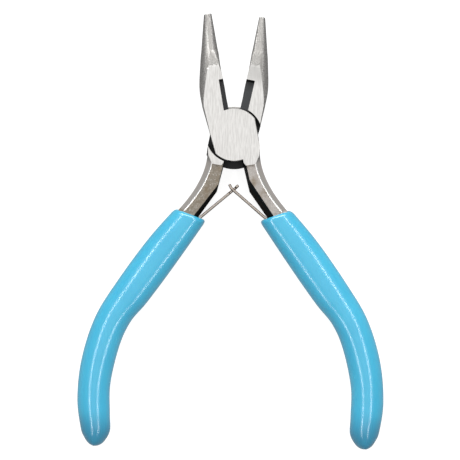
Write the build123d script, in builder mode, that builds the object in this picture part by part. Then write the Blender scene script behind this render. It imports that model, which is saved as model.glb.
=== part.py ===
from build123d import *
import os
from math import cos, radians, sin

# Round nose pliers with a lap joint, a pair of small side cutters at the jaw roots,
# two interlocking leaf springs and dipped grips, lying on their back.
# +Z is up through the joint, +Y points along the jaws, and the origin is on the
# pivot axis at the joint's back face. All sizes are in millimetres and degrees.
#
# Each half is drawn closed, in its own frame: the gripping plane is x = 0, its jaw
# lies at x < 0 and its handle at x > 0, and its joint plate is in the upper half
# of the thickness. The back half is the same forging turned over.

# ---- Driving dimensions -------------------------------------------------------
rest_opening = 22.2        # angle between the halves when the springs are relaxed
head_thickness = 7.0       # joint and jaw roots
arm_thickness = 5.6        # arms and tangs
grip_thickness = 8.4
grip_round = 2.6           # soft edges along a grip
grip_lip = 1.0             # rounding of a grip's mouth
jaw_length = 35.1          # pivot axis to jaw tips, before the tips are trimmed
joint_gap = 0.05           # between the two joint plates
shoulder_gap = 0.35        # between a plate's rim and the other half's shoulder
edge_break = 0.15          # chamfer along the ground faces

middle = head_thickness / 2
plate_floor = middle + joint_gap / 2

# Radii of the joint plates: on the jaw side, then on the handle side.
front_plate = (7.6, 7.6)
back_plate = (8.1, 9.8)

# Side cutters: width of the bevel next to the joint, then at its far end.
cutter_start = 7.0
cutter_end = 15.7
cutter_runout = 0.6
cutter_land = 0.2          # thickness left along the cutting edge
cutter_inset = 0.2         # cutting edge to gripping plane
cutter_rise = 2.0          # the bevel's rise from the edge to its side wall
front_cutter = (1.65, 1.5)
back_cutter = (2.48, 2.68)

# Jaw sections from the joint to the tip: distance from the pivot, outer edge and
# inner edge measured from the gripping plane, thickness, outer and inner edge radius.
# Where a section is thicker than the head, grinding the faces flat cuts it off.
jaw_root = (2.6, 6.85, cutter_inset, 7.1, 0.35, 0.25)
jaw_stations = [
    (9.5, 7.15, cutter_inset, 7.2, 0.90, 0.25),
    (12.5, 7.15, cutter_inset, 7.4, 1.90, 0.25),
    (15.5, 6.90, cutter_inset, 7.5, 2.90, 0.30),
    (18.0, 6.40, 0.28, 7.3, 2.95, 0.30),
    (20.8, 5.72, 0.28, 6.9, 2.60, 0.70),
    (25.0, 4.63, 0.20, 5.65, 2.15, 2.10),
]
jaw_tip = (1.95, 0.10, 1.85, 0.82, 0.82)
tip_round = 0.3
# What grinding left on each jaw beyond its root: extra width, extra length, and the
# share of the inner edge's rounding that remains.
front_jaw = (0.38, 0.40, 1.0)
back_jaw = (-0.10, -0.35, 0.45)

# Pivot rivet, peened into countersinks and ground flush.
rivet_radius = 2.5
rivet_clearance = 0.05
rivet_head_radius = 3.2
rivet_head_depth = 0.8

# Leaf springs, their feet and the rivets that hold them.
leaf_thickness = 0.8
leaf_width = 4.0
leaf_tongue = 1.6
leaf_slot = 2.4
leaf_root_level = -25.7     # the root lies on the arm's inner face at this height
leaf_crossing = (-3.04, -15.5)
leaf_tip_length = 1.7
leaf_tip_turns = (-15.0, -4.0)  # forked leaf, tongued leaf
foot_length = 11.0
foot_hole_at = 5.8         # along the foot, from the root
spring_rivet_radius = 1.0
spring_rivet_head_radius = 1.7
spring_rivet_head_height = 0.7
spring_rivet_depth = 4.2

# ---- Frames of the two halves -------------------------------------------------
half_angle = radians(rest_opening / 2)
front_frame = Plane(
    origin=(0, 0, 0),
    x_dir=(cos(half_angle), sin(half_angle), 0),
    z_dir=(0, 0, 1),
)
back_frame = Plane(
    origin=(0, 0, head_thickness),
    x_dir=(-cos(half_angle), sin(half_angle), 0),
    z_dir=(0, 0, -1),
)

# The arm leaves the joint straight and then runs outwards at the knee.
arm_knee = (1.45, -16.9)
arm_slope = 0.45           # sideways travel per length below the knee
arm_end = -27.0
arm_direction = Vector(arm_slope, -1, 0).normalized()
arm_inward = Vector(arm_direction.Y, -arm_direction.X, 0)


def along_arm(y):
    """Place on the arm's inner face, below the knee, at height y."""
    return (arm_knee[0] + arm_slope * (arm_knee[1] - y), y)


def shifted(points, x_shift):
    return [(x + x_shift, y) for x, y in points]


leaf_start = Vector(*along_arm(leaf_root_level)) + arm_inward * (leaf_thickness / 2)
blade_direction = (Vector(*leaf_crossing) - leaf_start).normalized()
rivet_foot = leaf_start + arm_direction * foot_hole_at + arm_inward * (leaf_thickness / 2)
spring_rivet_plane = Plane(
    origin=(rivet_foot.X, rivet_foot.Y, middle),
    x_dir=(0, 0, 1),
    z_dir=arm_inward,
)
blade_plane = Plane(
    origin=(leaf_crossing[0], leaf_crossing[1], middle),
    x_dir=blade_direction,
    z_dir=Vector(-blade_direction.Y, blade_direction.X, 0),
)


# ---- Jaw ----------------------------------------------------------------------
def jaw_section(distance, outer, inner, thickness, outer_radius, inner_radius, grinding):
    extra_width, _, rounding = grinding
    width = outer + extra_width - inner
    with BuildSketch(Plane.XZ.offset(-distance)) as section:
        with Locations((-inner - width / 2, middle)):
            Rectangle(width, thickness)
        fillet(section.vertices().group_by(Axis.X)[0], outer_radius)
        fillet(section.vertices().group_by(Axis.X)[-1], inner_radius * rounding)
    return section.sketch


def cutter_section(distance, width, floor):
    """Triangle-and-wall profile of the notch above the cutting edge."""
    with BuildSketch(Plane.XZ.offset(-distance)) as section:
        with BuildLine():
            Polyline(
                (1, floor),
                (-cutter_inset, floor),
                (-width, min(floor + cutter_rise, head_thickness)),
                (-width, head_thickness + 1),
                (1, head_thickness + 1),
                close=True,
            )
        make_face()
    return section.sketch


def cutter_notch(widths):
    edge_level = middle + cutter_land / 2
    with BuildPart() as notch:
        add(cutter_section(cutter_start, widths[0], edge_level))
        add(cutter_section(cutter_end, widths[1], edge_level))
        add(cutter_section(cutter_end + cutter_runout, widths[1], head_thickness - 0.05))
        loft(ruled=True)
        mirror(about=Plane.XY.offset(middle))
    return notch.part


def round_nose_jaw(cutter_widths, grinding):
    tip_station = (jaw_length + grinding[1], *jaw_tip)
    root = jaw_section(*jaw_root, grinding=(0.0, 0.0, 1.0))
    sections = [jaw_section(*station, grinding) for station in (*jaw_stations, tip_station)]
    with BuildPart() as jaw:
        loft(sections[-2:], ruled=True)
        fillet(jaw.faces().sort_by(Axis.Y)[-1].edges(), tip_round)
        loft(sections[:-1])
        loft([root, sections[0]], ruled=True)
        with Locations((0, 0, middle)):
            Box(4 * head_thickness, 3 * jaw_length, head_thickness, mode=Mode.INTERSECT)
        add(cutter_notch(cutter_widths), mode=Mode.SUBTRACT)
    return jaw.part


# ---- Joint --------------------------------------------------------------------
def head_envelope():
    """Sides of the closed head, which both joint plates follow."""
    with BuildSketch() as envelope:
        with BuildLine():
            jaw_side = Spline((-7.0, 9.0), (-6.9, 3.4), (-6.15, -5.0), (-5.85, -10.5))
            Polyline(jaw_side @ 1, (6.3, -10.5), (6.75, -4.5), (6.75, 9.0), jaw_side @ 0)
        make_face()
    return envelope.sketch


def joint_disc(radii, margin=0.0):
    """Disc with one radius towards the jaws and another towards the handles."""
    jaw_radius, handle_radius = radii
    with BuildSketch() as disc:
        Circle(handle_radius + margin)
        with Locations((0, handle_radius)):
            Rectangle(4 * handle_radius, 2 * handle_radius, mode=Mode.SUBTRACT)
        Circle(jaw_radius + margin)
    return disc.sketch


def joint_plate(radii):
    with BuildPart() as plate:
        with BuildSketch(Plane.XY.offset(plate_floor)):
            add(joint_disc(radii))
            add(head_envelope(), mode=Mode.INTERSECT)
        extrude(amount=head_thickness - plate_floor)
        chamfer(plate.faces().sort_by(Axis.Z)[-1].edges(), edge_break)
    return plate.part


def joint_neck():
    """Full-thickness shoulder that carries the handle."""
    with BuildPart() as neck:
        with BuildSketch():
            with BuildLine():
                Polyline(
                    (1.3, -3.0),
                    (1.3, -8.4),
                    (1.8, -9.3),
                    (4.5, -9.4),
                    (6.0, -7.2),
                    (6.75, -4.5),
                    (6.75, -3.0),
                    close=True,
                )
            make_face()
        extrude(amount=head_thickness)
    return neck.part


# ---- Handle -------------------------------------------------------------------
def arm_outline(level, inner, outer):
    with BuildSketch(Plane.XY.offset(level)) as outline:
        with BuildLine():
            inner_edge = Polyline(*inner)
            outer_edge = Spline(*outer)
            Line(inner_edge @ 1, outer_edge @ 1)
            Line(inner_edge @ 0, outer_edge @ 0)
        make_face()
    return outline.sketch


def forged_arm(ledge):
    """Arm with a straight band at mid height and sloping flanks above and below."""
    band = 1.0
    flank = 1.5
    ridge_round = 0.6
    silhouette_inner = [(0.95, -7.5), arm_knee, along_arm(arm_end)]
    silhouette_outer = [(6.6, -5.2), (6.2, -10.3), (7.0, -14.9), (12.5, -26.4)]
    ledge_top, ledge_bottom, ledge_knee = ledge
    face_inner = [
        (0.95 + ledge_top, -7.5),
        (1.15 + ledge_top, ledge_knee),
        (along_arm(arm_end)[0] + ledge_bottom, arm_end),
    ]
    face_outer = shifted(silhouette_outer, -flank)
    with BuildPart() as arm:
        add(arm_outline(middle, silhouette_inner, silhouette_outer))
        extrude(amount=band)
        add(arm_outline(middle + band, silhouette_inner, silhouette_outer))
        add(arm_outline(middle + arm_thickness / 2, face_inner, face_outer))
        loft(ruled=True)
        ridge = arm.edges().group_by(Axis.Z)[-1].filter_by(GeomType.BSPLINE)
        fillet(ridge, ridge_round)
        mirror(about=Plane.XY.offset(middle))
    return arm.part


def tang():
    """Rectangular core of the handle, inside the grip."""
    width = 5.6
    to_centre = -arm_inward * (width / 2)
    start = Vector(*along_arm(-26.0)) + to_centre
    straight_end = Vector(*along_arm(-37.0)) + to_centre
    with BuildPart() as core:
        with BuildSketch(Plane.XY.offset(middle)):
            with BuildLine() as path:
                Line(start, straight_end)
                Spline(
                    straight_end,
                    (17.7, -46.5),
                    (24.0, -62.9),
                    (24.6, -76.0),
                    (23.0, -86.0),
                    tangents=(arm_direction, Vector(-0.2, -1, 0)),
                )
            trace(line_width=width)
        extrude(amount=arm_thickness / 2, both=True)
    return core.part


def forged_half(plate_radii, mate_radii, cutter_widths, grinding, ledge):
    with BuildPart() as half:
        add(round_nose_jaw(cutter_widths, grinding))
        add(joint_plate(plate_radii))
        add(joint_neck())
        add(forged_arm(ledge))
        add(tang())
        with BuildSketch(Plane.XY.offset(plate_floor)):
            add(joint_disc(mate_radii, shoulder_gap))
        extrude(amount=-2 * head_thickness, mode=Mode.SUBTRACT)
        shoulder_rims = half.edges().filter_by(GeomType.CIRCLE).group_by(Axis.Z)[0]
        chamfer(shoulder_rims, edge_break)
        with Locations(spring_rivet_plane):
            Hole(spring_rivet_radius, leaf_thickness + spring_rivet_depth)
    return half.part


# ---- Springs ------------------------------------------------------------------
def leaf_blank(tip_turn):
    """Strip with a foot along the arm, a root bend, a straight blade and a tip."""
    foot_end = leaf_start + arm_direction * foot_length
    tip_start = Vector(*leaf_crossing) + blade_direction * 0.3
    tip_end = tip_start + blade_direction.rotate(Axis.Z, tip_turn) * leaf_tip_length
    with BuildPart() as leaf:
        with BuildSketch(Plane.XY.offset(middle)):
            with BuildLine():
                FilletPolyline(foot_end, leaf_start, tip_start, tip_end, radius=1.5)
            trace(line_width=leaf_thickness)
        extrude(amount=leaf_width / 2, both=True)
        with Locations(spring_rivet_plane):
            Hole(spring_rivet_radius, 2 * leaf_thickness)
    return leaf.part


def forked_leaf():
    """Leaf that straddles the other one between two prongs."""
    fork_depth = 1.3
    with BuildPart() as leaf:
        add(leaf_blank(leaf_tip_turns[0]))
        with BuildSketch(blade_plane):
            SlotCenterToCenter(4 * fork_depth, leaf_slot)
        extrude(amount=2, both=True, mode=Mode.SUBTRACT)
    return leaf.part


def tongued_leaf():
    """Leaf whose narrow tongue passes the fork and ends in a cross-piece."""
    tongue_reach = (-1.4, 0.9)
    length = tongue_reach[1] - tongue_reach[0]
    with BuildPart() as leaf:
        add(leaf_blank(leaf_tip_turns[1]))
        with BuildSketch(blade_plane):
            with Locations((sum(tongue_reach) / 2, 0)):
                Rectangle(length, 2 * leaf_width)
                Rectangle(length, leaf_tongue, mode=Mode.SUBTRACT)
        extrude(amount=2, both=True, mode=Mode.SUBTRACT)
    return leaf.part


def spring_rivet():
    with BuildPart() as rivet:
        with BuildSketch(spring_rivet_plane):
            Circle(spring_rivet_head_radius)
        extrude(amount=spring_rivet_head_height)
        chamfer(rivet.faces().sort_by(Axis(spring_rivet_plane.origin, arm_inward))[-1].edges(), 0.25)
        with BuildSketch(spring_rivet_plane):
            Circle(spring_rivet_radius)
        extrude(amount=-leaf_thickness - spring_rivet_depth)
    return rivet.part


# ---- Grip ---------------------------------------------------------------------
def dipped_grip():
    """Thick coat over the handle, before the handle is taken out of it."""
    with BuildPart() as coat:
        with BuildSketch(Plane.XY.offset(middle)):
            with BuildLine():
                outer_side = Spline(
                    (12.2, -24.05),
                    (18.0, -34.3),
                    (24.0, -47.5),
                    (28.2, -59.0),
                    (29.6, -71.5),
                    (28.3, -83.8),
                    (25.4, -92.3),
                )
                inner_side = Spline(
                    (17.4, -91.2),
                    (18.2, -86.0),
                    (20.0, -77.0),
                    (19.7, -66.0),
                    (18.0, -58.6),
                    (14.6, -52.3),
                    (9.45, -41.2),
                    (2.7, -25.6),
                )
                ThreePointArc(outer_side @ 1, (21.35, -95.75), inner_side @ 0)
                ThreePointArc(outer_side @ 0, (7.25, -23.9), inner_side @ 1)
            make_face()
        extrude(amount=grip_thickness / 2, both=True)
        mouth = coat.faces().sort_by(Axis.Y)[-1]
        flat_edges = coat.edges().filter_by(Plane.XY)
        fillet([edge for edge in flat_edges if edge not in mouth.edges()], grip_round)
        fillet(coat.faces().sort_by(Axis.Y)[-1].edges(), grip_lip)
    return coat.part


def grip(*contents):
    with BuildPart() as sleeve:
        add(dipped_grip())
        for item in contents:
            add(item, mode=Mode.SUBTRACT)
    return sleeve.part


# ---- Both halves in the drawing frame -----------------------------------------
front_blank = forged_half(
    front_plate, back_plate, front_cutter, front_jaw, ledge=(0.95, 1.9, -13.6)
)
back_blank = forged_half(
    back_plate, front_plate, back_cutter, back_jaw, ledge=(0.35, 1.5, -14.8)
)
fork = forked_leaf()
tongue = tongued_leaf()
leaf_rivet = spring_rivet()
right_coat = grip(front_blank, fork, leaf_rivet)
left_coat = grip(back_blank, tongue, leaf_rivet)


# ---- Pieces in place ----------------------------------------------------------
def countersink(radius, head_radius):
    """Cone of a peened rivet end, its wide end on the ground face."""
    with BuildPart() as cone:
        with BuildSketch(Plane.XY.offset(head_thickness)):
            Circle(head_radius)
        with BuildSketch(Plane.XY.offset(head_thickness - rivet_head_depth)):
            Circle(radius)
        loft()
    return cone.part


with BuildPart() as pivot_rivet:
    Cylinder(rivet_radius, head_thickness, align=(Align.CENTER, Align.CENTER, Align.MIN))
    add(countersink(rivet_radius, rivet_head_radius))
    mirror(about=Plane.XY.offset(middle))

with BuildPart() as front_half:
    with Locations(front_frame):
        add(front_blank)
    add(pivot_rivet.part, mode=Mode.SUBTRACT)

with BuildPart() as back_half:
    with Locations(back_frame):
        add(back_blank)
        bore_radius = rivet_radius + rivet_clearance
        Cylinder(bore_radius, 3 * head_thickness, mode=Mode.SUBTRACT)
        add(countersink(bore_radius, rivet_head_radius + rivet_clearance), mode=Mode.SUBTRACT)

with BuildPart() as right_leaf_spring:
    with Locations(front_frame):
        add(fork)

with BuildPart() as left_leaf_spring:
    with Locations(back_frame):
        add(tongue)

with BuildPart() as right_spring_rivet:
    with Locations(front_frame):
        add(leaf_rivet)

with BuildPart() as left_spring_rivet:
    with Locations(back_frame):
        add(leaf_rivet)

with BuildPart() as right_grip:
    with Locations(front_frame):
        add(right_coat)

with BuildPart() as left_grip:
    with Locations(back_frame):
        add(left_coat)

front_half.part.label = "front_half"
back_half.part.label = "back_half"
pivot_rivet.part.label = "pivot_rivet"
right_leaf_spring.part.label = "right_leaf_spring"
left_leaf_spring.part.label = "left_leaf_spring"
right_spring_rivet.part.label = "right_spring_rivet"
left_spring_rivet.part.label = "left_spring_rivet"
right_grip.part.label = "right_grip"
left_grip.part.label = "left_grip"

os.makedirs("parts", exist_ok=True)
export_step(front_half.part, "parts/front_half.step")
export_step(back_half.part, "parts/back_half.step")
export_step(pivot_rivet.part, "parts/pivot_rivet.step")
export_step(right_leaf_spring.part, "parts/right_leaf_spring.step")
export_step(left_leaf_spring.part, "parts/left_leaf_spring.step")
export_step(right_spring_rivet.part, "parts/right_spring_rivet.step")
export_step(left_spring_rivet.part, "parts/left_spring_rivet.step")
export_step(right_grip.part, "parts/right_grip.step")
export_step(left_grip.part, "parts/left_grip.step")
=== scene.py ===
import math
from types import SimpleNamespace

import bmesh
import bpy
from mathutils import Matrix, Vector, noise


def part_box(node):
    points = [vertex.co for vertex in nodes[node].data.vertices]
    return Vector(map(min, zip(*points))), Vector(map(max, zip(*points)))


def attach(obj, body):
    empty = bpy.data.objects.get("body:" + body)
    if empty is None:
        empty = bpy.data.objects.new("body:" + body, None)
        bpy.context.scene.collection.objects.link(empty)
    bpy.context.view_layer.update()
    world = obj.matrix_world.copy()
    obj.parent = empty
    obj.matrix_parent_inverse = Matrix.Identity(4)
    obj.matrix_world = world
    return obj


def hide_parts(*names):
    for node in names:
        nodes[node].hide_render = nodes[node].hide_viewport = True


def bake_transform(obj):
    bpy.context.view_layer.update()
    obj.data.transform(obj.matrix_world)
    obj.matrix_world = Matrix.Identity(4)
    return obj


# Round nose pliers lying on a white studio table, seen from straight above.
# Metres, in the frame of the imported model: +Y along the jaws, +Z up, pivot at x = y = 0.

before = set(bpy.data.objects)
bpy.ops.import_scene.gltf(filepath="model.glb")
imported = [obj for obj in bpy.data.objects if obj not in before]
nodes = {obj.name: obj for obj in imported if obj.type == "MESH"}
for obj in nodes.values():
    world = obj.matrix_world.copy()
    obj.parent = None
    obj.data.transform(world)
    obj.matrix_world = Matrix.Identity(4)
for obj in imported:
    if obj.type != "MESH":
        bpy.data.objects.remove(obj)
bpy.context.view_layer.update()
scene = bpy.context.scene

MM = 0.001
HALF_OPENING = math.radians(11.1)      # each half is turned this far from the closed tool
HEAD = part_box("front_half")[1].z       # thickness of the joint; its back face is z = 0
MIDDLE = HEAD / 2


# ---- The halves' own frames: gripping plane x = 0, handle at x > 0 --------------
def half_axes(body):
    """Directions of a half's own x (towards its handle side) and y (along its jaw)."""
    side = 1 if body == "front_half" else -1
    across = Vector((side * math.cos(HALF_OPENING), math.sin(HALF_OPENING), 0))
    along = Vector((-side * math.sin(HALF_OPENING), math.cos(HALF_OPENING), 0))
    return across, along


def placed(body, x, y, z=MIDDLE):
    """A point of the closed half, given in metres, in the open tool."""
    across, along = half_axes(body)
    return across * x + along * y + Vector((0, 0, z))


# ---- Node graphs -----------------------------------------------------------------
class Graph:
    """Short ways to add the few shader nodes that these materials use."""

    def __init__(self, name):
        self.material = bpy.data.materials.new(name)
        self.material.use_nodes = True
        self.tree = self.material.node_tree
        self.shader = self.tree.nodes["Principled BSDF"]
        self.place = self.add("ShaderNodeTexCoord")

    def add(self, kind, **settings):
        node = self.tree.nodes.new(kind)
        for key, value in settings.items():
            setattr(node, key, value)
        return node

    def feed(self, socket, value):
        if isinstance(value, bpy.types.NodeSocket):
            self.tree.links.new(value, socket)
        else:
            socket.default_value = value

    def math(self, operation, a, b=0.0):
        node = self.add("ShaderNodeMath", operation=operation)
        self.feed(node.inputs[0], a)
        self.feed(node.inputs[1], b)
        return node.outputs[0]

    def add_up(self, a, b):
        return self.math("ADD", a, b)

    def size_of(self, value):
        return self.math("ABSOLUTE", value)

    def above(self, value, limit):
        return self.math("GREATER_THAN", value, limit)

    def below(self, value, limit):
        return self.math("LESS_THAN", value, limit)

    def product(self, first, *others):
        """Product of values. For masks: 1 where all of them are 1."""
        for other in others:
            first = self.math("MULTIPLY", first, other)
        return first

    def largest(self, first, *others):
        """Largest of values. For masks: 1 where any of them is 1."""
        for other in others:
            first = self.math("MAXIMUM", first, other)
        return first

    def dot(self, a, b):
        node = self.add("ShaderNodeVectorMath", operation="DOT_PRODUCT")
        self.feed(node.inputs[0], a)
        self.feed(node.inputs[1], b)
        return node.outputs["Value"]

    def ramp(self, value, low, high, to_low=0.0, to_high=1.0):
        """Smooth step from to_low at low to to_high at high."""
        node = self.add("ShaderNodeMapRange", interpolation_type="SMOOTHSTEP")
        for socket, number in zip(node.inputs[:5], (value, low, high, to_low, to_high)):
            self.feed(socket, number)
        return node.outputs[0]

    def stretched(self, scale):
        node = self.add("ShaderNodeMapping")
        self.feed(node.inputs["Vector"], self.place.outputs["Object"])
        node.inputs["Scale"].default_value = scale
        return node.outputs[0]

    def noise(self, size, detail=3.0, roughness=0.55, stretch=(1, 1, 1)):
        """Noise from 0 to 1 with features of about size metres."""
        node = self.add("ShaderNodeTexNoise")
        self.feed(node.inputs["Vector"], self.stretched([s / size for s in stretch]))
        node.inputs["Scale"].default_value = 1.0
        node.inputs["Detail"].default_value = detail
        node.inputs["Roughness"].default_value = roughness
        return node.outputs["Fac"]

    def mix(self, factor, a, b):
        node = self.add("ShaderNodeMix", data_type="RGBA")
        self.feed(node.inputs["Factor"], factor)
        self.feed(node.inputs[6], a if isinstance(a, bpy.types.NodeSocket) else (*a, 1))
        self.feed(node.inputs[7], b if isinstance(b, bpy.types.NodeSocket) else (*b, 1))
        return node.outputs[2]

    def bump(self, height, depth):
        node = self.add("ShaderNodeBump")
        node.inputs["Strength"].default_value = 1.0
        node.inputs["Distance"].default_value = depth
        self.feed(node.inputs["Height"], height)
        self.feed(self.shader.inputs["Normal"], node.outputs[0])

    def set(self, **values):
        for name, value in values.items():
            self.feed(self.shader.inputs[name.replace("_", " ")], value)


# ---- Steel -----------------------------------------------------------------------
GROUND = (0.92, 0.905, 0.88)
STREAK = (0.76, 0.745, 0.72)
SATIN = (0.57, 0.56, 0.54)
# Painted shade: darker colour for the tops of the noses, which face the overhead light.
SATIN_TOP_SHADE = (0.31, 0.302, 0.288)
SATIN_PIT = (0.25, 0.24, 0.23)
# Painted highlight along the left nose's crest.
CREST_HIGHLIGHT = (0.56, 0.55, 0.53)
# Painted light: lighter colour for the arms' sloping flanks.
LIT_ARM_FLANK = (0.82, 0.775, 0.73)
ARM_SPECK = (0.62, 0.60, 0.565)
TEMPER_BROWN = (0.22, 0.17, 0.115)
# Painted highlight on the rounded edge between arm face and flank.
RIDGE_HIGHLIGHT = (0.95, 0.94, 0.92)
BLACK_OXIDE = (0.027, 0.028, 0.028)
WORN_OXIDE = (0.05, 0.05, 0.05)
GRINDING_DEPTH = 0.06 * MM
GRINDING_SHARE = 0.25         # of that depth, for the streaks

JOINT_RADIUS = 7.0 * MM
SHOULDER_RADIUS = 10.6 * MM   # the blackened steps around the joint lie within this
RECESS_HEIGHT = 0.5 * MM      # the joint recesses lie this close to mid thickness
CUTTER_FOOT = 6.0 * MM        # along the jaw: where the cutter starts,
BEVEL_END = 15.7 * MM         # where its bevel ends
NOTCH_END = 16.4 * MM         # and where the notch ends
GRIPPING_GAP = 0.1 * MM       # the gripping sides stay bright this far from the plane x = 0
NOTCH_MARGIN = 0.12 * MM
NOTCH_DEPTH = 0.03 * MM       # the notch starts this far below the ground face
INNER_FLANK_TOP = -6.9 * MM
ARM_TOP = -8.0 * MM           # the noses' satin steel turns into the arms' steel from here
ARM_START = -9.5 * MM         # to here
RIDGE_TOP = -9.0 * MM         # below this the edge between arm face and flank gets a painted highlight
CREST_ORIGIN = 56.7 * MM      # the nose's crest runs towards the point x = 0, y = this
CREST_SLOPE = 0.0925


def ground_streaks(graph):
    """Fine grinding marks along Y, as a height from 0 to 1."""
    fine = graph.noise(0.16 * MM, detail=2.0, stretch=(1, 0.06, 1))
    coarse = graph.noise(0.5 * MM, detail=3.0, stretch=(1, 0.10, 1))
    return graph.add_up(graph.product(fine, 0.65), graph.product(coarse, 0.35))


def ground_colour(graph, streaks):
    return graph.mix(graph.ramp(streaks, 0.4, 0.62), GROUND, STREAK)


def half_fields(graph, body):
    """Where the shaded point lies in its half's own frame, and which way it faces."""
    across, along = half_axes(body)
    position = graph.place.outputs["Object"]
    normal = graph.place.outputs["Normal"]
    x = graph.dot(position, across)
    y = graph.dot(position, along)
    outward = graph.dot(normal, across)
    height = graph.size_of(graph.math("SUBTRACT", graph.dot(position, (0, 0, 1)), MIDDLE))
    return SimpleNamespace(
        x=x,
        y=y,
        radius=graph.math("SQRT", graph.add_up(graph.product(x, x), graph.product(y, y))),
        height=height,                                    # from mid thickness
        depth=graph.math("SUBTRACT", MIDDLE, height),     # below the nearer ground face
        facing=graph.size_of(graph.dot(normal, (0, 0, 1))),
        outward=outward,
        from_pivot=graph.add_up(graph.product(outward, x),
                                graph.product(graph.dot(normal, along), y)),
    )


def ground_mask(graph, at):
    """The flats. The grinder also caught high spots next to them, so the border is ragged."""
    high_spots = graph.noise(0.9 * MM, detail=4.0, roughness=0.7, stretch=(1, 0.6, 1))
    reach = graph.ramp(high_spots, 0.35, 0.75, 0.01 * MM, 0.16 * MM)
    return graph.product(graph.below(at.depth, reach), graph.ramp(at.facing, 0.955, 0.975))


def black_masks(graph, at, cutter_width):
    """Everything blackened, and the cutter's bevel alone."""
    jaw_root = graph.product(graph.above(at.y, CUTTER_FOOT), graph.above(at.x, -GRIPPING_GAP))
    recess = graph.product(
        graph.below(at.height, RECESS_HEIGHT),
        graph.above(at.facing, 0.9),
        graph.math("SUBTRACT", 1.0, jaw_root),
    )
    notch = graph.product(
        graph.above(at.depth, NOTCH_DEPTH),
        graph.above(at.x, -(cutter_width + NOTCH_MARGIN)),
        graph.below(at.x, -GRIPPING_GAP),
        graph.above(at.y, CUTTER_FOOT),
        graph.below(at.y, NOTCH_END),
    )
    inner_flank = graph.product(graph.below(at.outward, -0.22), graph.below(at.y, INNER_FLANK_TOP))
    shoulder = graph.product(
        graph.below(at.from_pivot, -0.6 * JOINT_RADIUS),
        graph.below(at.radius, SHOULDER_RADIUS),
    )
    bevel = graph.product(notch, graph.below(at.y, BEVEL_END))
    return graph.largest(recess, notch, inner_flank, shoulder), bevel


def crest_highlight_mask(graph, at, speckle):
    """Painted highlight: a speckled lighter line along the left nose's crest."""
    line = graph.product(graph.math("SUBTRACT", at.y, CREST_ORIGIN), CREST_SLOPE)
    off_line = graph.size_of(graph.math("SUBTRACT", at.x, line))
    return graph.product(
        graph.ramp(off_line, 0.5 * MM, 0.1 * MM),
        graph.ramp(at.y, 20.5 * MM, 24.0 * MM),
        graph.ramp(at.y, 34.0 * MM, 31.0 * MM),
        graph.ramp(speckle, 0.58, 0.47, 0.0, 0.9),
    )


def nose_colour(graph, body, at, speckle):
    """Satin steel, pitted on top, with painted shade darkening its top."""
    # Painted shade on the noses' tops, where the overhead light would make them bright.
    shaded_crown = graph.product(graph.ramp(at.facing, 0.90, 0.97),
                          graph.ramp(at.facing, 0.998, 0.988, 0.5, 1.0))
    nose = graph.mix(shaded_crown, SATIN, SATIN_TOP_SHADE)
    nose = graph.mix(graph.ramp(speckle, 0.42, 0.66, 0.0, 0.85), nose, SATIN_PIT)
    # Painted highlight along the crest of the front half's nose.
    if body == "front_half":
        nose = graph.mix(crest_highlight_mask(graph, at, speckle), nose, CREST_HIGHLIGHT)
    return nose


def arm_steel(graph, at, speckle, face_colour):
    """Mottled face with brown temper patches, and painted light on the sloping flanks."""
    patches = graph.noise(3.5 * MM, detail=2.0)
    face = graph.mix(graph.ramp(speckle, 0.45, 0.7, 0.0, 0.5), face_colour, ARM_SPECK)
    face = graph.mix(graph.ramp(patches, 0.42, 0.72, 0.0, 0.8), face, TEMPER_BROWN)
    # Painted light: the flanks, facing sideways, get a lighter colour.
    return graph.mix(graph.ramp(at.facing, 0.93, 0.75), face, LIT_ARM_FLANK)


def half_steel(body, cutter_width, bevel_colour, arm_colour):
    """Ground faces, satin nose, forged arm, blackened recesses and cutter bevel."""
    graph = Graph(body + "_steel")
    at = half_fields(graph, body)
    streaks = ground_streaks(graph)
    speckle = graph.noise(0.38 * MM, detail=4.0, roughness=0.7)
    ground = ground_mask(graph, at)
    black, bevel = black_masks(graph, at, cutter_width)
    # Painted highlight along the edge between arm face and flank, which also gets a lower
    # roughness.
    ridge_highlight = graph.product(
        graph.ramp(at.facing, 0.66, 0.74),
        graph.ramp(at.facing, 0.995, 0.97),
        graph.below(at.y, RIDGE_TOP),
    )

    forged = graph.mix(
        graph.ramp(at.y, ARM_TOP, ARM_START),
        nose_colour(graph, body, at, speckle),
        arm_steel(graph, at, speckle, arm_colour),
    )
    forged = graph.mix(ridge_highlight, forged, RIDGE_HIGHLIGHT)
    flat = ground_colour(graph, streaks)
    if body == "back_half":
        # Less was ground off this jaw, so its flat is duller towards the nose.
        flat = graph.mix(graph.ramp(at.y, 14.5 * MM, 18.0 * MM, 0.0, 0.65), flat, SATIN)
    worn = graph.ramp(speckle, 0.6, 0.85, 0.0, 0.5)
    blackened = graph.mix(worn, graph.mix(bevel, BLACK_OXIDE, bevel_colour), WORN_OXIDE)
    graph.set(
        Base_Color=graph.mix(black, graph.mix(ground, forged, flat), blackened),
        Metallic=graph.math("SUBTRACT", 1.0, graph.product(bevel, 0.75)),
        Roughness=graph.add_up(
            graph.ramp(graph.largest(ground, ridge_highlight), 0.0, 1.0, 0.42, 0.28),
            graph.product(speckle, 0.1),
        ),
    )
    pitting = graph.ramp(graph.largest(ground, black), 0.0, 1.0, 1.0, 0.1)
    relief = graph.add_up(graph.product(streaks, ground, GRINDING_SHARE),
                          graph.product(speckle, pitting))
    graph.bump(relief, GRINDING_DEPTH)
    return graph.material


def rivet_steel():
    graph = Graph("rivet_steel")
    streaks = ground_streaks(graph)
    graph.set(Base_Color=ground_colour(graph, streaks), Metallic=1.0, Roughness=0.33)
    graph.bump(graph.product(streaks, GRINDING_SHARE), GRINDING_DEPTH)
    return graph.material


SPRING_TAN = (0.56, 0.51, 0.46)
SPRING_BROWN = (0.46, 0.41, 0.36)
SPRING_LINE = (0.36, 0.31, 0.27)
# Painted shade for the leaves' rounded edges.
SPRING_EDGE_SHADE = (0.16, 0.12, 0.10)


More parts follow.
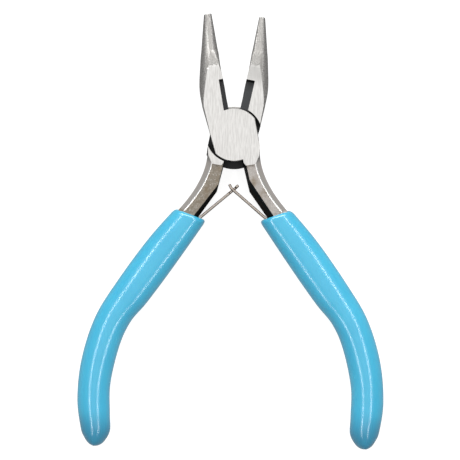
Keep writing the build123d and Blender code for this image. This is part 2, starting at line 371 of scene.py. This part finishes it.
def spring_steel():
    """Rolled strip: tan temper colour, fine rolling lines, and painted shade on the rounded edges.
    """
    graph = Graph("spring_steel")
    lines = graph.noise(0.12 * MM, detail=2.0, stretch=(0.2, 0.2, 1))
    patches = graph.noise(1.6 * MM, detail=3.0)
    tan = graph.mix(graph.ramp(patches, 0.35, 0.7), SPRING_TAN, SPRING_BROWN)
    tan = graph.mix(graph.ramp(lines, 0.45, 0.7, 0.0, 0.5), tan, SPRING_LINE)
    facing = graph.size_of(graph.dot(graph.place.outputs["Normal"], (0, 0, 1)))
    # Painted shade on the rounded edges, which turn away from the lights.
    edge = graph.product(graph.ramp(facing, 0.1, 0.3), graph.ramp(facing, 0.995, 0.96))
    graph.set(
        Base_Color=graph.mix(edge, tan, SPRING_EDGE_SHADE),
        Metallic=1.0,
        Roughness=graph.ramp(patches, 0.3, 0.7, 0.3, 0.42),
    )
    graph.bump(lines, 0.02 * MM)
    return graph.material


VINYL_BLUE = (0.045, 0.44, 0.66)
VINYL_CLOUD = (0.036, 0.41, 0.63)
# Painted shade for the grips' tips, which face away from the key light.
VINYL_TIP_SHADE = (0.018, 0.25, 0.41)
TIP_FROM = -78 * MM           # world Y where the painted shade at the tips starts
TIP_TO = -86 * MM


def vinyl():
    """Glossy dipped plastisol: even colour, with painted shade deepening it towards the tips."""
    graph = Graph("grip_vinyl")
    cloud = graph.noise(9 * MM, detail=3.0)
    skin = graph.noise(0.35 * MM, detail=2.0)
    colour = graph.mix(graph.ramp(cloud, 0.3, 0.7), VINYL_BLUE, VINYL_CLOUD)
    along = graph.dot(graph.place.outputs["Object"], (0, 1, 0))
    graph.set(
        # Painted shade: the colour darkens towards the tips.
        Base_Color=graph.mix(graph.ramp(along, TIP_FROM, TIP_TO), colour, VINYL_TIP_SHADE),
        Roughness=graph.ramp(skin, 0.3, 0.7, 0.28, 0.34),
    )
    graph.set(
        Coat_Weight=1.0,
        Coat_Roughness=0.2,
        Coat_IOR=1.65,
        Subsurface_Weight=0.08,
        Subsurface_Radius=(0.2, 0.6, 1.0),
        Subsurface_Scale=0.6 * MM,
    )
    graph.bump(graph.add_up(skin, graph.product(cloud, 4.0)), 0.004 * MM)
    return graph.material


# ---- Mesh helpers ----------------------------------------------------------------
def new_object(name, mesh, material):
    for polygon in mesh.polygons:
        polygon.use_smooth = True
    mesh.materials.append(material)
    piece = bpy.data.objects.new(name, mesh)
    scene.collection.objects.link(piece)
    return piece


def rings_to_mesh(name, rings):
    """Closed skin over rings of equally many points, with fans over both ends."""
    count = len(rings[0])
    points = [point for ring in rings for point in ring]
    first, last = len(points), len(points) + 1
    points.append(sum(rings[0], Vector()) / count)
    points.append(sum(rings[-1], Vector()) / count)
    faces = []
    for i in range(count):
        j = (i + 1) % count
        for row in range(len(rings) - 1):
            a = row * count
            faces.append((a + i, a + j, a + count + j, a + count + i))
        end = (len(rings) - 1) * count
        faces.append((first, j, i))
        faces.append((last, end + i, end + j))
    mesh = bpy.data.meshes.new(name)
    mesh.from_pydata(points, [], faces)
    maker = bmesh.new()
    maker.from_mesh(mesh)
    bmesh.ops.recalc_face_normals(maker, faces=maker.faces)
    maker.to_mesh(mesh)
    maker.free()
    return mesh


def smooth_curve(points, per_span=12):
    """Points of a Catmull-Rom curve through the given 2D points."""
    padded = [2 * points[0] - points[1], *points, 2 * points[-1] - points[-2]]
    curve = []
    for a, b, c, d in zip(padded, padded[1:], padded[2:], padded[3:]):
        for step in range(per_span):
            t = step / per_span
            curve.append(0.5 * (2 * b + (c - a) * t + (2 * a - 5 * b + 4 * c - d) * t ** 2
                                + (3 * b - a - 3 * c + d) * t ** 3))
    return curve + [points[-1]]


def resampled(curve, shares):
    """Points of a polyline at growing shares of its length."""
    lengths = [0.0]
    for a, b in zip(curve, curve[1:]):
        lengths.append(lengths[-1] + (b - a).length)
    result = []
    span = 0
    for share in shares:
        target = lengths[-1] * share
        while span < len(curve) - 2 and lengths[span + 1] < target:
            span += 1
        part = (target - lengths[span]) / (lengths[span + 1] - lengths[span])
        result.append(curve[span].lerp(curve[span + 1], min(part, 1.0)))
    return result


# ---- Grips -----------------------------------------------------------------------
# Sides of the coat in the closed half's frame, in millimetres, from mouth to tip.
GRIP_OUTER = [(12.2, -24.05), (18.0, -34.3), (24.0, -47.5), (28.2, -59.0), (29.6, -71.5),
              (28.5, -83.0), (25.8, -91.2), (24.2, -93.7), (22.7, -95.1), (21.1, -95.6)]
GRIP_INNER = [(2.7, -25.6), (9.45, -41.2), (14.5, -52.1), (18.0, -58.6), (19.7, -66.0),
              (20.0, -77.0), (18.4, -85.5), (17.35, -90.2), (18.2, -93.4), (19.5, -95.0),
              (21.1, -95.6)]
GRIP_ROWS = 140
DOME_ROWS = 18
DOME_START = 0.89         # share of a side's length where the coat starts to thin to its tip
GRIP_POINTS = 64
LIP = 1.1 * MM            # rounding of the mouth's edge
LIP_STEPS = 6
LIP_ROWS = 3              # rows of the sides that the lip takes the place of
MOUTH_DISH = [(3.4, 0.55), (2.2, 0.35), (1.5, 0.12), (1.1, 0.02)]     # mm inwards, mm deep
DISH_FULLNESS = 2.6
LIP_FULLNESS = 2.35
FULLNESS_LOSS = 0.45      # from lip to dome
DOME_FULLNESS = 1.9
UNEVENNESS = 0.02 * MM


def grip_ring(body, outer, inner, half_thickness, fullness):
    """Rounded section between two side points; fullness 2 is an ellipse."""
    centre = (outer + inner) / 2
    reach = (outer - inner) / 2
    ring = []
    for i in range(GRIP_POINTS):
        angle = 2 * math.pi * i / GRIP_POINTS
        c, s = math.cos(angle), math.sin(angle)
        across = math.copysign(abs(c) ** (2 / fullness), c)
        up = math.copysign(abs(s) ** (2 / fullness), s)
        flat = centre + reach * across
        ring.append(placed(body, flat.x, flat.y, MIDDLE + half_thickness * up))
    return ring


def dipped_grip(body, node, material):
    """Coat from its dished mouth over the rounded lip and the sides to the domed tip."""
    dome = [math.pi / 2 * i / DOME_ROWS for i in range(1, DOME_ROWS)]
    shares = [DOME_START * row / (GRIP_ROWS - 1) for row in range(GRIP_ROWS)]
    shares += [DOME_START + (1 - DOME_START) * math.sin(turn) for turn in dome]
    outer = resampled(smooth_curve([Vector(p) * MM for p in GRIP_OUTER]), shares)
    inner = resampled(smooth_curve([Vector(p) * MM for p in GRIP_INNER]), shares)
    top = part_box(node)[1].z - MIDDLE
    mouth_way = ((outer[0] - outer[1]) + (inner[0] - inner[1])).normalized()
    mouth_side = (outer[0] - inner[0]).normalized()

    def mouth_ring(inset, back, fullness):
        squeeze = mouth_side * inset
        drop = mouth_way * back
        return grip_ring(body, outer[0] - squeeze - drop, inner[0] + squeeze - drop,
                         top - inset, fullness)

    rings = [mouth_ring(inset * MM, back * MM, DISH_FULLNESS) for inset, back in MOUTH_DISH]
    for i in range(1, LIP_STEPS + 1):
        turn = math.pi / 2 * i / LIP_STEPS
        rings.append(mouth_ring(LIP * (1 - math.sin(turn)), LIP * (1 - math.cos(turn)),
                                LIP_FULLNESS))
    for row in range(LIP_ROWS, GRIP_ROWS):
        fullness = LIP_FULLNESS - FULLNESS_LOSS * row / GRIP_ROWS
        rings.append(grip_ring(body, outer[row], inner[row], top, fullness))
    for row, turn in enumerate(dome, start=GRIP_ROWS):
        rings.append(grip_ring(body, outer[row], inner[row], top * math.cos(turn) ** 0.8,
                               DOME_FULLNESS))
    mesh = rings_to_mesh(node + "_coat", rings)
    # Slight unevenness of a hand-dipped coat, inwards only.
    mesh.update()
    for vertex in mesh.vertices:
        swell = noise.noise(vertex.co / (7 * MM)) - 0.6
        vertex.co += vertex.normal * swell * UNEVENNESS
    piece = new_object(node + "_coat", mesh, material)
    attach(piece, body)
    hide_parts(node)


# ---- Leaf springs ------------------------------------------------------------------
# In the closed half's frame, in millimetres unless MM is there.
LEAF_ROOT = Vector((5.05, -25.7))         # where the leaf bends away from its arm
LEAF_CROSSING = Vector((-3.04, -15.5))    # where it passes the other leaf
BLADE = (LEAF_CROSSING - LEAF_ROOT).normalized()
DOWN_THE_ARM = Vector((0.45, -1.0)).normalized()
FOOT_LENGTH = 9.0
TIP_BEND = 0.3                            # past the crossing
TIP_LENGTH = 1.7                          # from that bend
LEAF_THICKNESS = 0.8 * MM
LEAF_LEVELS = (-2.0, -1.2, -0.8, 0.8, 1.2, 2.0)      # heights from mid thickness
LEAF_COLUMNS = 70
LEAF_EDGE = 0.2 * MM                      # rounding of its edges
SHARP_ANGLE = math.radians(40)
FORK_FROM = -1.3                          # along the blade, from the crossing
TONGUE_FROM, TONGUE_TO = -1.4, 0.9
FORK_SLOT = (1, 2, 3)                     # gaps between levels cut out of the forked leaf
TONGUE_SIDES = (0, 1, 3, 4)               # and beside the tongue of the other


def leaf_line(tip_turn):
    """Points of a leaf from foot to tip, in metres."""
    arm = DOWN_THE_ARM
    tip_way = Matrix.Rotation(math.radians(tip_turn), 2) @ BLADE
    tip_start = LEAF_CROSSING + BLADE * TIP_BEND
    route = [
        LEAF_ROOT + arm * FOOT_LENGTH,
        LEAF_ROOT + arm * 1.6,
        LEAF_ROOT + arm * 0.5,
        LEAF_ROOT + (arm + BLADE) * 0.12,
        LEAF_ROOT + BLADE * 0.5,
        LEAF_ROOT + BLADE * 1.6,
        LEAF_ROOT.lerp(tip_start, 0.5),
        tip_start,
        tip_start + tip_way * 0.8,
        tip_start + tip_way * TIP_LENGTH,
    ]
    shares = [i / (LEAF_COLUMNS - 1) for i in range(LEAF_COLUMNS)]
    return resampled(smooth_curve([p * MM for p in route], 10), shares)


def leaf_cells(line, forked):
    """The (column, level) cells that have metal, with the fork or the tongue cut."""
    cells = set()
    for i, (a, b) in enumerate(zip(line, line[1:])):
        distance = (((a + b) / 2 / MM) - LEAF_CROSSING).dot(BLADE)
        if forked:
            cut = FORK_SLOT if distance > FORK_FROM else ()
        else:
            cut = TONGUE_SIDES if TONGUE_FROM < distance < TONGUE_TO else ()
        cells.update((i, level) for level in range(len(LEAF_LEVELS) - 1) if level not in cut)
    return cells


def strip_mesh(name, body, line, cells):
    """Bevelled strip that stands on edge along a line, with metal in the given cells."""
    maker = bmesh.new()
    verts = {}

    def vertex(i, level, face):
        key = (i, level, face)
        if key not in verts:
            ahead = (line[min(i + 1, len(line) - 1)] - line[max(i - 1, 0)]).normalized()
            aside = Vector((-ahead.y, ahead.x))
            flat = line[i] + aside * face * LEAF_THICKNESS / 2
            spot = placed(body, flat.x, flat.y, MIDDLE + LEAF_LEVELS[level] * MM)
            verts[key] = maker.verts.new(spot)
        return verts[key]

    for i, level in sorted(cells):
        for face in (-1, 1):
            maker.faces.new((vertex(i, level, face), vertex(i + 1, level, face),
                             vertex(i + 1, level + 1, face), vertex(i, level + 1, face)))
        sides = (
            ((i - 1, level), (i, level), (i, level + 1)),
            ((i + 1, level), (i + 1, level), (i + 1, level + 1)),
            ((i, level - 1), (i, level), (i + 1, level)),
            ((i, level + 1), (i, level + 1), (i + 1, level + 1)),
        )
        for neighbour, a, b in sides:
            if neighbour not in cells:
                maker.faces.new((vertex(*a, -1), vertex(*b, -1), vertex(*b, 1), vertex(*a, 1)))
    bmesh.ops.recalc_face_normals(maker, faces=maker.faces)
    sharp = [edge for edge in maker.edges
             if len(edge.link_faces) == 2 and edge.calc_face_angle(0) > SHARP_ANGLE]
    bmesh.ops.bevel(maker, geom=sharp, offset=LEAF_EDGE, segments=2, profile=0.5,
                    affect="EDGES", clamp_overlap=True)
    mesh = bpy.data.meshes.new(name)
    maker.to_mesh(mesh)
    maker.free()
    return mesh


def leaf_spring(body, node, forked, tip_turn, material):
    """Leaf riveted to one half, drawn in that half's frame."""
    line = leaf_line(tip_turn)
    mesh = strip_mesh(node + "_strip", body, line, leaf_cells(line, forked))
    piece = new_object(node + "_strip", mesh, material)
    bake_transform(piece)
    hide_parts(node)


# ---- Studio ----------------------------------------------------------------------
VIEW_WIDTH = 132.0 * MM
CAMERA_HEIGHT = 1.1
VIEW_ROLL = math.radians(0.78)
VIEW_CENTRE = Vector((-0.78 * MM, -27.28 * MM, 0))


def make_camera():
    data = bpy.data.cameras.new("camera")
    data.sensor_width = 36.0
    data.lens = data.sensor_width * (CAMERA_HEIGHT - MIDDLE) / VIEW_WIDTH
    data.clip_start = 0.05
    camera = bpy.data.objects.new("camera", data)
    camera.location = (VIEW_CENTRE.x, VIEW_CENTRE.y, CAMERA_HEIGHT)
    camera.rotation_euler = (0, 0, VIEW_ROLL)
    scene.collection.objects.link(camera)
    scene.camera = camera


def soft_light(name, place, size, power):
    data = bpy.data.lights.new(name, "AREA")
    data.shape = "RECTANGLE"
    data.size, data.size_y = size
    data.energy = power
    lamp = bpy.data.objects.new(name, data)
    lamp.location = place
    aim = Vector((0, VIEW_CENTRE.y, 0)) - Vector(place)
    lamp.rotation_euler = aim.to_track_quat("-Z", "Y").to_euler()
    scene.collection.objects.link(lamp)


def make_studio():
    soft_light("overhead", (0.0, 0.05, 1.3), (0.62, 0.8), 0.75)
    soft_light("back_key", (0.0, 1.2, 1.1), (1.6, 0.8), 26.0)
    soft_light("left_strip", (-0.6, 0.0, 1.15), (1.26, 0.07), 3.6)
    soft_light("right_strip", (0.6, 0.0, 1.15), (1.26, 0.07), 3.6)
    world = bpy.data.worlds.new("studio")
    world.use_nodes = True
    background = world.node_tree.nodes["Background"]
    background.inputs["Color"].default_value = (1.0, 1.0, 1.0, 1)
    background.inputs["Strength"].default_value = 0.32
    scene.world = world
    scene.view_settings.view_transform = "Standard"


def make_floor():
    graph = Graph("floor_white")
    grain = graph.noise(2 * MM)
    graph.set(Base_Color=graph.mix(grain, (0.36, 0.36, 0.36), (0.34, 0.34, 0.34)), Roughness=0.9)
    graph.shader.inputs["Emission Color"].default_value = (1, 1, 1, 1)
    graph.shader.inputs["Emission Strength"].default_value = 0.85
    maker = bmesh.new()
    bmesh.ops.create_grid(maker, x_segments=8, y_segments=8, size=1.5)
    mesh = bpy.data.meshes.new("floor")
    maker.to_mesh(mesh)
    maker.free()
    floor = new_object("floor", mesh, graph.material)
    floor.location.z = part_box("left_grip")[0].z
    floor.visible_glossy = False


make_camera()
make_studio()
make_floor()

grip_vinyl = vinyl()
leaf_steel = spring_steel()
rivet = rivet_steel()

nodes["front_half"].material_slots[0].material = half_steel(
    "front_half",
    cutter_width=1.65 * MM,
    bevel_colour=(0.055, 0.056, 0.058),
    arm_colour=(0.41, 0.38, 0.355),
)
nodes["back_half"].material_slots[0].material = half_steel(
    "back_half",
    cutter_width=2.68 * MM,
    bevel_colour=(0.078, 0.081, 0.085),
    arm_colour=(0.24, 0.21, 0.17),
)
for name in ("pivot_rivet", "right_spring_rivet", "left_spring_rivet"):
    nodes[name].material_slots[0].material = rivet

dipped_grip("front_half", "right_grip", grip_vinyl)
dipped_grip("back_half", "left_grip", grip_vinyl)
leaf_spring("front_half", "right_leaf_spring",
            forked=True, tip_turn=-15, material=leaf_steel)
leaf_spring("back_half", "left_leaf_spring",
            forked=False, tip_turn=-4, material=leaf_steel)
